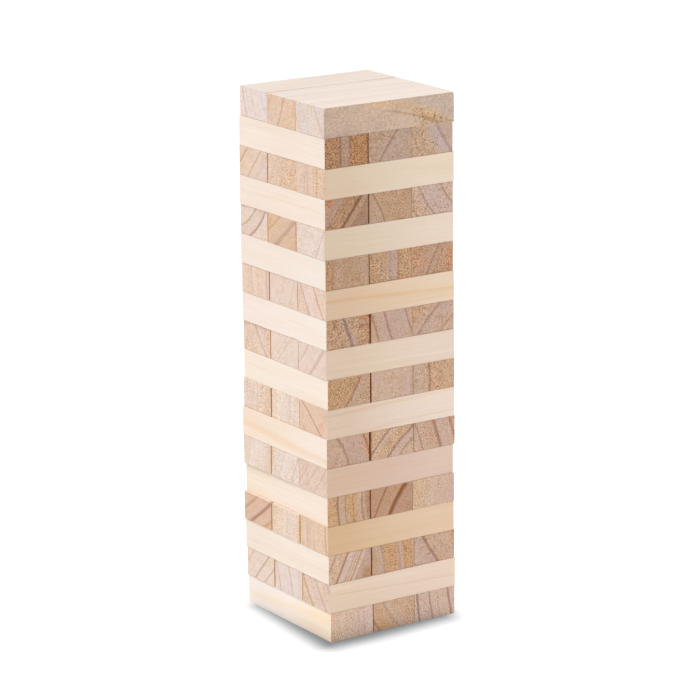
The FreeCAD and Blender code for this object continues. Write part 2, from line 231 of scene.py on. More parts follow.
# Bands of other colours across the rings of an end: distance from the
# block's middle in mm, and the tone as a factor on the end's colour.
BANDS = {
    "layer01_left": [
        (-30.0, (1.03, 0.93, 0.83)),
        (-26.0, (1.01, 0.965, 0.92)),
        (-18.0, (1.0, 1.0, 1.0)),
        (20.0, (0.97, 0.985, 1.06)),
    ],
    "layer01_middle": [
        (-30.0, (0.99, 0.91, 0.76)),
        (-12.0, (0.98, 0.94, 0.87)),
        (0.0, (1.0, 1.0, 1.0)),
        (20.0, (0.98, 0.94, 0.87)),
    ],
    "layer01_right": [
        (-25.0, (0.97, 0.985, 1.06)),
        (-4.0, (0.97, 0.95, 1.01)),
        (6.0, (1.0, 1.0, 1.0)),
        (20.0, (0.97, 0.985, 1.06)),
    ],
    "layer02_front": [
        (-20.0, (0.98, 0.94, 0.87)),
        (-12.0, (1.0, 1.0, 1.0)),
        (4.0, (0.97, 0.95, 1.01)),
        (12.0, (1.0, 1.0, 1.0)),
        (28.0, (0.97, 0.95, 1.01)),
    ],
    "layer03_left": [
        (-28.0, (1.01, 0.965, 0.92)),
        (-13.0, (0.98, 0.94, 0.87)),
        (-6.0, (0.97, 0.985, 1.06)),
        (4.0, (0.97, 0.985, 1.06)),
        (8.0, (1.01, 0.965, 0.92)),
        (14.0, (0.97, 0.985, 1.06)),
        (24.0, (0.97, 0.985, 1.06)),
        (29.0, (0.98, 0.94, 0.87)),
    ],
    "layer03_middle": [
        (-28.0, (0.98, 0.94, 0.87)),
        (-22.0, (0.97, 0.985, 1.06)),
        (-15.0, (0.97, 0.985, 1.06)),
        (-12.0, (1.02, 0.9, 0.7)),
        (5.0, (1.02, 0.9, 0.7)),
        (9.0, (0.97, 0.985, 1.06)),
        (14.0, (0.97, 0.985, 1.06)),
        (16.0, (1.04, 0.89, 0.68)),
        (27.0, (1.04, 0.89, 0.68)),
        (30.0, (1.0, 1.0, 1.0)),
    ],
    "layer03_right": [
        (-25.0, (0.97, 0.985, 1.06)),
        (-8.0, (0.97, 0.95, 1.01)),
        (0.0, (0.98, 0.94, 0.87)),
        (14.0, (1.0, 1.0, 1.0)),
        (26.0, (0.98, 0.94, 0.87)),
    ],
    "layer04_middle": [
        (-30.0, (0.98, 0.94, 0.87)),
        (-6.0, (1.0, 1.0, 1.0)),
        (2.0, (0.97, 0.985, 1.06)),
        (20.0, (0.97, 0.985, 1.06)),
        (25.0, (1.0, 1.0, 1.0)),
        (30.0, (1.03, 0.93, 0.83)),
    ],
    "layer04_front": [
        (-30.0, (0.98, 0.94, 0.87)),
        (-20.0, (1.0, 1.0, 1.0)),
        (-14.0, (0.97, 0.95, 1.01)),
        (0.0, (1.0, 1.0, 1.0)),
        (30.0, (0.98, 0.94, 0.87)),
    ],
    "layer04_back": [
        (-25.0, (1.0, 1.0, 1.0)),
        (-10.0, (1.01, 0.965, 0.92)),
        (2.0, (0.97, 0.95, 1.01)),
        (12.0, (0.97, 0.95, 1.01)),
        (18.0, (1.0, 1.0, 1.0)),
        (26.0, (1.03, 0.93, 0.83)),
    ],
    "layer05_left": [
        (-32.0, (1.03, 0.93, 0.83)),
        (-19.0, (1.03, 0.93, 0.83)),
        (-15.0, (0.97, 0.985, 1.06)),
        (-6.0, (0.97, 0.985, 1.06)),
        (-3.0, (0.99, 0.91, 0.76)),
        (9.0, (0.99, 0.91, 0.76)),
        (14.0, (0.97, 0.985, 1.06)),
        (25.0, (0.97, 0.985, 1.06)),
        (31.0, (0.98, 0.82, 0.7)),
    ],
    "layer05_middle": [
        (-24.0, (0.97, 0.95, 1.01)),
        (-4.0, (1.0, 1.0, 1.0)),
        (10.0, (0.97, 0.985, 1.06)),
        (22.0, (0.97, 0.985, 1.06)),
    ],
    "layer05_right": [
        (-25.0, (1.03, 1.0, 0.88)),
        (-4.0, (1.0, 1.0, 1.0)),
        (24.0, (0.97, 0.95, 1.01)),
    ],
    "layer06_middle": [
        (-30.0, (1.03, 0.93, 0.83)),
        (-25.0, (1.0, 1.0, 1.0)),
        (-4.0, (1.02, 1.035, 1.07)),
        (10.0, (1.0, 1.0, 1.0)),
    ],
    "layer06_back": [
        (-24.0, (1.0, 1.0, 1.0)),
        (-8.0, (1.02, 1.035, 1.07)),
        (16.0, (1.0, 1.0, 1.0)),
        (28.0, (1.01, 0.965, 0.92)),
    ],
    "layer07_left": [
        (-26.0, (1.0, 1.0, 1.0)),
        (-8.0, (1.0, 1.0, 1.0)),
        (4.0, (0.97, 0.985, 1.06)),
        (20.0, (0.97, 0.985, 1.06)),
        (26.0, (1.03, 0.93, 0.83)),
        (32.0, (1.03, 0.93, 0.83)),
    ],
    "layer07_middle": [
        (-24.0, (0.99, 0.91, 0.76)),
        (-17.0, (0.99, 0.91, 0.76)),
        (-13.0, (1.0, 1.0, 1.0)),
        (-4.0, (0.99, 0.91, 0.76)),
        (5.0, (0.99, 0.91, 0.76)),
        (10.0, (0.97, 0.95, 1.01)),
        (18.0, (0.97, 0.95, 1.01)),
        (23.0, (0.98, 0.94, 0.87)),
    ],
    "layer07_right": [
        (-25.0, (1.0, 1.0, 1.0)),
        (-4.0, (0.98, 0.94, 0.87)),
        (4.0, (1.0, 1.0, 1.0)),
        (12.0, (0.97, 0.985, 1.06)),
        (24.0, (1.0, 1.0, 1.0)),
    ],
    "layer08_middle": [
        (-26.0, (1.01, 0.965, 0.92)),
        (-10.0, (1.02, 1.035, 1.07)),
        (8.0, (0.97, 0.95, 1.01)),
        (20.0, (1.0, 1.0, 1.0)),
    ],
    "layer08_back": [
        (-25.0, (1.0, 1.0, 1.0)),
        (-12.0, (1.02, 1.035, 1.07)),
        (0.0, (1.0, 1.0, 1.0)),
        (14.0, (1.01, 0.965, 0.92)),
        (26.0, (1.01, 0.965, 0.92)),
    ],
    "layer09_left": [
        (-30.0, (0.99, 0.91, 0.76)),
        (-4.0, (0.99, 0.91, 0.76)),
        (6.0, (1.03, 0.93, 0.83)),
        (14.0, (0.97, 0.985, 1.06)),
        (24.0, (1.0, 1.0, 1.0)),
    ],
    "layer09_middle": [
        (-24.0, (1.0, 1.0, 1.0)),
        (10.0, (1.0, 1.0, 1.0)),
        (22.0, (0.97, 0.985, 1.06)),
    ],
    "layer09_right": [
        (-24.0, (1.0, 1.0, 1.0)),
        (-8.0, (1.01, 0.965, 0.92)),
        (-2.0, (1.03, 0.93, 0.83)),
        (8.0, (0.99, 0.91, 0.76)),
        (30.0, (1.01, 0.965, 0.92)),
    ],
    "layer10_back": [
        (-25.0, (1.01, 0.965, 0.92)),
        (0.0, (1.0, 1.0, 1.0)),
        (15.0, (1.0, 1.0, 1.0)),
        (24.0, (1.01, 0.965, 0.92)),
    ],
    "layer11_left": [
        (-30.0, (1.03, 0.93, 0.83)),
        (-22.0, (0.99, 0.91, 0.76)),
        (-8.0, (0.99, 0.91, 0.76)),
        (-4.0, (1.0, 1.0, 1.0)),
        (1.0, (0.97, 0.985, 1.06)),
        (4.0, (0.97, 0.985, 1.06)),
        (8.0, (0.99, 0.91, 0.76)),
        (20.0, (0.99, 0.91, 0.76)),
        (25.0, (0.98, 0.82, 0.7)),
    ],
    "layer11_middle": [
        (-24.0, (1.01, 0.965, 0.92)),
        (-16.0, (0.97, 0.985, 1.06)),
        (-6.0, (0.97, 0.985, 1.06)),
        (0.0, (0.97, 0.985, 1.06)),
        (22.0, (0.97, 0.985, 1.06)),
        (28.0, (1.01, 0.965, 0.92)),
    ],
    "layer11_right": [
        (-26.0, (0.99, 0.91, 0.76)),
        (-12.0, (1.0, 1.0, 1.0)),
        (-2.0, (0.97, 0.985, 1.06)),
        (20.0, (1.0, 1.0, 1.0)),
    ],
    "layer12_front": [
        (-26.0, (0.98, 0.94, 0.87)),
        (-14.0, (0.97, 0.95, 1.01)),
        (0.0, (1.0, 1.0, 1.0)),
        (12.0, (1.01, 0.965, 0.92)),
    ],
    "layer12_back": [
        (-27.0, (1.02, 1.035, 1.07)),
        (-16.0, (1.01, 0.965, 0.92)),
        (-8.0, (1.0, 1.0, 1.0)),
        (0.0, (1.02, 1.035, 1.07)),
        (8.0, (1.01, 0.965, 0.92)),
        (16.0, (1.0, 1.0, 1.0)),
        (24.0, (0.97, 0.95, 1.01)),
    ],
    "layer13_left": [
        (-30.0, (0.99, 0.91, 0.76)),
        (-25.0, (1.03, 0.93, 0.83)),
        (-16.0, (1.0, 1.0, 1.0)),
        (0.0, (0.98, 0.94, 0.87)),
        (20.0, (1.0, 1.0, 1.0)),
    ],
    "layer13_middle": [
        (-30.0, (0.99, 0.91, 0.76)),
        (-8.0, (0.98, 0.94, 0.87)),
        (-3.0, (0.96, 0.97, 1.1)),
        (8.0, (0.96, 0.95, 1.08)),
        (13.0, (0.99, 0.91, 0.76)),
        (28.0, (0.99, 0.91, 0.76)),
    ],
    "layer13_right": [
        (-24.0, (1.03, 0.93, 0.83)),
        (-8.0, (1.0, 1.0, 1.0)),
        (2.0, (0.97, 0.985, 1.06)),
        (10.0, (1.0, 1.0, 1.0)),
        (24.0, (1.03, 0.93, 0.83)),
    ],
    "layer14_middle": [
        (-22.0, (1.01, 0.965, 0.92)),
        (-12.0, (1.0, 1.0, 1.0)),
        (2.0, (0.97, 0.95, 1.01)),
        (12.0, (0.97, 0.95, 1.01)),
        (20.0, (1.01, 0.965, 0.92)),
    ],
    "layer14_front": [
        (-30.0, (1.01, 0.965, 0.92)),
        (-23.0, (1.0, 1.0, 1.0)),
        (10.0, (1.02, 1.035, 1.07)),
    ],
    "layer14_back": [
        (-22.0, (1.02, 1.035, 1.07)),
        (-8.0, (1.0, 1.0, 1.0)),
        (4.0, (0.97, 0.95, 1.01)),
        (14.0, (1.02, 1.035, 1.07)),
    ],
    "layer15_left": [
        (-32.0, (1.03, 0.93, 0.83)),
        (-26.0, (1.03, 0.93, 0.83)),
        (-22.0, (0.97, 0.985, 1.06)),
        (-15.0, (0.97, 0.985, 1.06)),
        (-11.0, (0.99, 0.91, 0.76)),
        (-1.0, (0.99, 0.91, 0.76)),
        (3.0, (0.98, 0.94, 0.87)),
        (9.0, (0.97, 0.93, 0.95)),
        (16.0, (1.0, 1.0, 1.0)),
        (25.0, (0.97, 0.985, 1.06)),
    ],
    "layer15_middle": [
        (-24.0, (0.97, 0.985, 1.06)),
        (-14.0, (1.0, 1.0, 1.0)),
        (0.0, (0.98, 0.94, 0.87)),
        (24.0, (1.0, 1.0, 1.0)),
    ],
    "layer15_right": [
        (-30.0, (0.99, 0.91, 0.76)),
        (-14.0, (0.98, 0.94, 0.87)),
        (-6.0, (0.97, 0.985, 1.06)),
        (15.0, (0.97, 0.985, 1.06)),
        (24.0, (1.0, 1.0, 1.0)),
    ],
    "layer16_middle": [
        (-20.0, (1.02, 1.035, 1.07)),
        (0.0, (1.0, 1.0, 1.0)),
        (16.0, (1.01, 0.965, 0.92)),
    ],
    "layer16_front": [
        (-28.0, (1.02, 1.035, 1.07)),
        (-8.0, (0.97, 0.95, 1.01)),
        (2.0, (1.0, 1.0, 1.0)),
        (6.0, (1.01, 0.965, 0.92)),
        (13.0, (1.03, 0.93, 0.83)),
        (16.0, (1.0, 1.0, 1.0)),
        (26.0, (1.01, 0.965, 0.92)),
    ],
    "layer16_back": [
        (-24.0, (1.01, 0.965, 0.92)),
        (0.0, (1.0, 1.0, 1.0)),
        (14.0, (0.97, 0.985, 1.06)),
    ],
    "layer17_left": [
        (-30.0, (1.02, 0.94, 0.84)),
        (-12.0, (0.98, 0.94, 0.9)),
        (-7.5, (1.0, 1.13, 1.38)),
        (3.0, (1.0, 1.13, 1.38)),
        (6.5, (1.02, 0.94, 0.8)),
        (30.0, (1.05, 0.95, 0.76)),
    ],
    "layer17_middle": [
        (-22.0, (0.98, 0.94, 0.87)),
        (-6.0, (1.0, 1.0, 1.0)),
        (2.0, (0.97, 0.985, 1.06)),
        (20.0, (1.0, 1.0, 1.0)),
    ],
    "layer17_right": [
        (-30.0, (0.99, 0.91, 0.76)),
        (-4.0, (0.99, 0.91, 0.76)),
        (6.0, (0.97, 0.985, 1.06)),
        (16.0, (0.97, 0.985, 1.06)),
        (22.0, (1.0, 1.0, 1.0)),
    ],
    "layer18_middle": [
        (-30.0, (0.99, 0.91, 0.76)),
        (-18.0, (1.0, 1.0, 1.0)),
        (2.0, (1.0, 1.0, 1.0)),
        (8.0, (1.01, 0.965, 0.92)),
        (26.0, (0.98, 0.94, 0.87)),
    ],
    "layer18_front": [
        (-28.0, (1.01, 0.965, 0.92)),
        (-20.0, (0.97, 0.985, 1.06)),
        (10.0, (1.0, 1.0, 1.0)),
        (22.0, (0.97, 0.95, 1.01)),
    ],
    "layer18_back": [
        (-26.0, (1.01, 0.965, 0.92)),
        (-20.0, (1.0, 1.0, 1.0)),
        (10.0, (1.0, 1.0, 1.0)),
        (24.0, (0.97, 0.985, 1.06)),
    ],
}

# Patches on an end: place right and up of its middle in mm, radius in mm,
# factor on the colour, strength.
PATCHES = {
    "layer01_middle": [(-18.0, -10.0, 11.0, (0.99, 0.91, 0.76), 0.8)],
    "layer03_left": [(26.0, -14.0, 12.0, (0.86, 0.7, 0.52), 0.9)],
    "layer07_left": [(30.0, 2.0, 8.0, (1.03, 0.93, 0.83), 0.8)],
    "layer07_right": [(27.0, 15.0, 6.0, (0.98, 0.82, 0.7), 0.9)],
    "layer08_front": [(18.0, -8.0, 10.0, (1.02, 0.9, 0.88), 0.8)],
    "layer10_back": [(20.0, 10.0, 14.0, (0.97, 0.985, 1.06), 0.8)],
    "layer11_left": [(28.0, 16.0, 7.0, (0.98, 0.82, 0.7), 0.9)],
    "layer12_front": [(-24.0, 12.0, 7.0, (0.99, 0.91, 0.76), 0.9)],
    "layer13_right": [
        (-10.0, -4.0, 9.0, (1.03, 0.93, 0.83), 0.9),
        (28.0, 0.0, 9.0, (1.03, 0.93, 0.83), 0.8),
    ],
    "layer15_left": [(-26.0, 16.0, 8.0, (0.98, 0.82, 0.7), 0.9)],
}

# Grain streaks along a visible long side: height at its left and right end
# in mm, width in mm, factor on the colour.
STREAKS = {
    "layer01_left": [(-6.0, 12.0, 9.0, (1.0, 0.96, 0.89))],
    "layer02_front": [
        (4.6, -3.6, 1.4, (0.95, 0.9, 0.85)),
        (12.0, 6.0, 6.0, (1.03, 1.05, 1.07)),
    ],
    "layer03_left": [
        (6.0, -2.0, 1.0, (0.985, 0.955, 0.92)),
        (-7.0, -10.0, 1.2, (0.98, 0.96, 0.93)),
    ],
    "layer05_left": [(-10.0, -16.0, 7.0, (1.0, 0.965, 0.92))],
    "layer07_left": [(0.0, -12.0, 8.0, (0.985, 0.92, 0.84))],
    "layer08_front": [
        (10.0, 17.0, 3.0, (0.97, 0.9, 0.8)),
        (-20.0, -9.0, 1.2, (0.95, 0.9, 0.84)),
    ],
    "layer10_front": [(-6.0, -8.4, 2.0, (1.04, 1.06, 1.09))],
    "layer12_front": [(5.6, -3.8, 3.4, (0.965, 0.905, 0.77))],
    "layer15_left": [(2.4, 2.0, 3.0, (1.0, 0.965, 0.93))],
}

# How strongly the torn fibres of a sawn end show.
SPECKLE = {
    "layer01_left": 1.61,
    "layer01_middle": 1.22,
    "layer01_right": 1.9,
    "layer02_middle": 0.39,
    "layer02_front": 0.85,
    "layer02_back": 0.43,
    "layer03_left": 0.8,
    "layer03_middle": 1.44,
    "layer03_right": 1.29,
    "layer04_middle": 0.88,
    "layer04_front": 0.54,
    "layer04_back": 0.32,
    "layer05_left": 0.95,
    "layer05_middle": 1.2,
    "layer05_right": 1.35,
    "layer06_middle": 0.91,
    "layer06_front": 0.64,
    "layer06_back": 0.73,
    "layer07_left": 1.13,
    "layer07_middle": 1.6,
    "layer07_right": 1.77,
    "layer08_middle": 1.06,
    "layer08_front": 0.49,
    "layer08_back": 1.24,
    "layer09_left": 2.1,
    "layer09_middle": 1.06,
    "layer09_right": 1.46,
    "layer10_middle": 0.39,
    "layer10_front": 0.22,
    "layer10_back": 0.93,
    "layer11_left": 2.0,
    "layer11_middle": 0.97,
    "layer11_right": 1.2,
    "layer12_middle": 0.6,
    "layer12_front": 0.6,
    "layer12_back": 0.59,
    "layer13_left": 1.22,
    "layer13_middle": 1.71,
    "layer13_right": 2.1,
    "layer14_middle": 0.6,
    "layer14_front": 0.83,
    "layer14_back": 0.55,
    "layer15_left": 1.45,
    "layer15_middle": 1.9,
    "layer15_right": 1.62,
    "layer16_middle": 1.19,
    "layer16_front": 1.09,
    "layer16_back": 0.5,
    "layer17_left": 2.7,
    "layer17_middle": 1.56,
    "layer17_right": 1.35,
    "layer18_middle": 0.67,
    "layer18_front": 1.02,
    "layer18_back": 0.51,
}

# Colour of the latewood as a factor on the end's colour, and the blocks
# whose rings are darker or redder than the rest.
RING_TINT = (0.56, 0.40, 0.345)
RING_TINTS = {
    "layer02_front": (0.6, 0.45, 0.34),
    "layer04_back": (0.66, 0.44, 0.32),
    "layer05_middle": (0.55, 0.305, 0.16),
    "layer07_right": (0.6, 0.4, 0.32),
    "layer09_left": (0.56, 0.38, 0.28),
    "layer11_middle": (0.62, 0.41, 0.33),
    "layer14_back": (0.58, 0.45, 0.41),
    "layer15_left": (0.52, 0.35, 0.24),
    "layer17_left": (0.56, 0.38, 0.27),
}

# Saw lines across an end: tilt in degrees from level, and strength.
SAW_LINES = {
    "layer04_middle": (-3.0, 0.8),
    "layer05_middle": (-35.0, 0.8),
    "layer06_front": (40.0, 0.8),
    "layer07_left": (35.0, 0.6),
    "layer08_middle": (-4.0, 0.6),
    "layer08_front": (30.0, 0.5),
    "layer08_back": (20.0, 0.5),
    "layer09_middle": (3.0, 0.8),
    "layer10_middle": (20.0, 0.5),
    "layer15_left": (48.0, 0.9),
}

EDGE_RADIUS = 0.45


# ------------------------------------------------------------ block frames
def block_frame(node):
    """The block's own axes from its CAD solid: x along the grain, z up."""
    mesh = frame["nodes"][node].data
    co = np.array([tuple(round(c, 6) for c in v.co) for v in mesh.vertices])
    co = np.unique(co, axis=0)
    centre = (co.min(0) + co.max(0)) / 2
    flat = co[:, :2] - co[:, :2].mean(0)
    values, vectors = np.linalg.eigh(flat.T @ flat)
    along = vectors[:, 1]
    main = 0 if abs(along[0]) > abs(along[1]) else 1
    along = along * np.sign(along[main])
    across = np.array([-along[1], along[0]])
    half = np.array([
        np.abs(flat @ along).max(),
        np.abs(flat @ across).max(),
        (co[:, 2].max() - co[:, 2].min()) / 2,
    ])
    place = Matrix((
        (along[0], across[0], 0, centre[0]),
        (along[1], across[1], 0, centre[1]),
        (0, 0, 1, centre[2]),
        (0, 0, 0, 1),
    ))
    return place, half * 1000.0, "X" if main == 0 else "Y"


# ------------------------------------------------------------------- shape
def stations(half, radius, step):
    """Cuts along one edge, close together near the arris."""
    near = [0.0, 0.2 * radius, 0.5 * radius, radius, 2.0 * radius, 1.7, 2.7, 4.6]
    inner = half - near[-1]
    count = max(2, int(round(2 * inner / step)))
    middle = [-inner + 2 * inner * i / count for i in range(1, count)]
    return [-half + d for d in near] + middle + [half - d for d in reversed(near)]


def wave(points, rng, lengths, count=5):
    """A smooth seeded field from a few crossing sine waves, about -1 to 1."""
    total = np.zeros(len(points))
    for _ in range(count):
        direction = np.array([rng.uniform(-1, 1) for _ in range(3)])
        direction /= np.linalg.norm(direction)
        length = rng.uniform(*lengths)
        total += np.sin(points @ direction * 2 * math.pi / length
                        + rng.uniform(0, 2 * math.pi))
    return total / count


def block_mesh(name, half, rng, nicks):
    """A sawn block in mm about its middle: eased arrises of uneven radius,
    slightly cupped faces, and the odd nick."""
    xs, ys, zs = (stations(h, EDGE_RADIUS, s) for h, s in zip(half, (7.5, 6.5, 6.0)))
    verts, index, faces = [], {}, []

    def vert(p):
        key = (round(p[0], 4), round(p[1], 4), round(p[2], 4))
        if key not in index:
            index[key] = len(verts)
            verts.append(key)
        return index[key]

    def side(us, vs, build):
        for i in range(len(us) - 1):
            for j in range(len(vs) - 1):
                quad = [(us[i], vs[j]), (us[i + 1], vs[j]),
                        (us[i + 1], vs[j + 1]), (us[i], vs[j + 1])]
                faces.append([vert(build(u, v)) for u, v in quad])

    hx, hy, hz = half
    side(ys, zs, lambda u, v: (hx, u, v))
    side(list(reversed(ys)), zs, lambda u, v: (-hx, u, v))
    side(list(reversed(xs)), zs, lambda u, v: (u, hy, v))
    side(xs, zs, lambda u, v: (u, -hy, v))
    side(xs, ys, lambda u, v: (u, v, hz))
    side(list(reversed(xs)), ys, lambda u, v: (u, v, -hz))

    p = np.array(verts, float)
    h = np.array(half)
    # the arris is eased more in some places than in others
    radius = EDGE_RADIUS * (0.72 + 0.28 * wave(p, rng, (18.0, 60.0)))
    for (cx, cy, cz), size in nicks:
        d = np.linalg.norm(p - np.array((cx, cy, cz)), axis=1)
        radius = radius + 2.2 * np.exp(-(d / size) ** 2)
    if name.startswith("layer18_front"):
        # the top layer's front arris is worn round along its whole length
        radius = radius + 1.7 * np.exp(-((p[:, 1] + h[1]) ** 2 + (p[:, 2] - h[2]) ** 2) / 14.0)
    inner = h[None, :] - radius[:, None]
    q = np.clip(p, -inner, inner)
    n = p - q
    length = np.linalg.norm(n, axis=1)
    n = n / np.maximum(length, 1e-9)[:, None]
    p = q + n * radius[:, None]
    # faces are never quite flat: a little cup, always inside the sawn size
    cup = 0.05 * (1 + wave(p, rng, (60.0, 170.0)))
    cup += 0.012 * (1 + wave(p, rng, (9.0, 22.0), 7))
    p = p - n * cup[:, None]

    mesh = bpy.data.meshes.new(name)
    mesh.from_pydata((p / 1000.0).tolist(), [], faces)
    mesh.validate()
    for polygon in mesh.polygons:
        polygon.use_smooth = True
    mesh.update()
    return mesh


# --------------------------------------------------------------- materials
class Tree:
    """Short names for the shader nodes that the timber is made from."""

    def __init__(self, material):
        material.use_nodes = True
        self.tree = material.node_tree
        self.tree.nodes.clear()

    def add(self, kind, **settings):
        node = self.tree.nodes.new(kind)
        for key, value in settings.items():
            setattr(node, key, value)
        return node

    def put(self, socket, value):
        if isinstance(value, bpy.types.NodeSocket):
            self.tree.links.new(value, socket)
        else:
            socket.default_value = value

    def math(self, operation, a, b=None, c=None, clamp=False):
        node = self.add("ShaderNodeMath", operation=operation, use_clamp=clamp)
        for socket, value in zip(node.inputs, (a, b, c)):
            if value is not None:
                self.put(socket, value)
        return node.outputs[0]

    def vector(self, operation, a, b=None, scale=None):
        node = self.add("ShaderNodeVectorMath", operation=operation)
        self.put(node.inputs[0], a)
        if b is not None:
            self.put(node.inputs[1], b)
        if scale is not None:
            self.put(node.inputs["Scale"], scale)
        return node.outputs[0]

    def noise(self, vector, scale, detail=2.0, rough=0.5, colour=False, distortion=0.0):
        node = self.add("ShaderNodeTexNoise")
        self.put(node.inputs["Vector"], vector)
        node.inputs["Scale"].default_value = scale
        node.inputs["Detail"].default_value = detail
        node.inputs["Roughness"].default_value = rough
        node.inputs["Distortion"].default_value = distortion
        return node.outputs["Color" if colour else "Fac"]

    def span(self, value, a, b, c=0.0, d=1.0, smooth=True):
        node = self.add("ShaderNodeMapRange",
                        interpolation_type="SMOOTHSTEP" if smooth else "LINEAR")
        self.put(node.inputs["Value"], value)
        node.inputs["From Min"].default_value = a
        node.inputs["From Max"].default_value = b
        node.inputs["To Min"].default_value = c
        node.inputs["To Max"].default_value = d
        return node.outputs["Result"]

    def ramp(self, value, stops, interpolation="LINEAR"):
        node = self.add("ShaderNodeValToRGB")
        self.put(node.inputs[0], value)
        ramp = node.color_ramp
        ramp.interpolation = interpolation
        while len(ramp.elements) > 1:
            ramp.elements.remove(ramp.elements[-1])
        for i, (place, colour) in enumerate(stops):
            element = ramp.elements[0] if i == 0 else ramp.elements.new(place)
            element.position = place
            element.color = (*colour, 1.0)
        return node.outputs["Color"]

    def mix(self, factor, a, b, blend="MIX"):
        node = self.add("ShaderNodeMix", data_type="RGBA", blend_type=blend,
                        clamp_factor=True)
        self.put(node.inputs[0], factor)
        self.put(node.inputs[6], a)
        self.put(node.inputs[7], b)
        return node.outputs[2]

    def mult(self, colour, value, strength=1.0):
        """Colour times a plain value, as much as strength says."""
        return self.mix(strength, colour, value, "MULTIPLY")


def grey(v):
    return (v, v, v, 1.0)


def rgba(c):
    return (c[0], c[1], c[2], 1.0)


def scaled(c, by):
    return tuple(max(0.0, min(1.0, a * b)) for a, b in zip(c, by))


SPAN = 45.0      # mm either side of the block's middle that the rings cover


def ring_stops(rings, rng, curvature):
    """The rings as stops of one ramp: earlywood fades into latewood, which
    ends sharply on the bark side."""
    out = []
    faint = []
    places = sorted(r[0] for r in rings)
    spot = -SPAN + rng.uniform(2, 8)
    while spot < SPAN - 4:
        if all(abs(spot - p) > 6.0 for p in places):
            faint.append((spot, rng.uniform(1.4, 2.6), rng.uniform(0.05, 0.13)))
        spot += rng.uniform(6.0, 13.0)
    for centre, width, dark in sorted(list(rings) + faint):
        soft, sharp = 1.05 * width, 0.68 * width
        if curvature < 0:
            soft, sharp = sharp, soft
        out += [(centre - soft, 0.0), (centre - 0.25 * width, dark),
                (centre + 0.25 * width, dark), (centre + sharp, 0.0)]
    stops = [(0.0, 0.0)]
    for place, dark in out:
        place = (place + SPAN) / (2 * SPAN)
        place = max(place, stops[-1][0] + 0.0015)
        if place < 0.998:
            stops.append((place, dark))
    stops = stops[:31]
    return [(p, (d, d, d)) for p, d in stops]


def visible_side(short):
    """The blocks whose planed side is part of the tower's front or left."""
    layer, place = int(short[5:7]), short[8:]
    return place == ("front" if layer % 2 == 0 else "left")


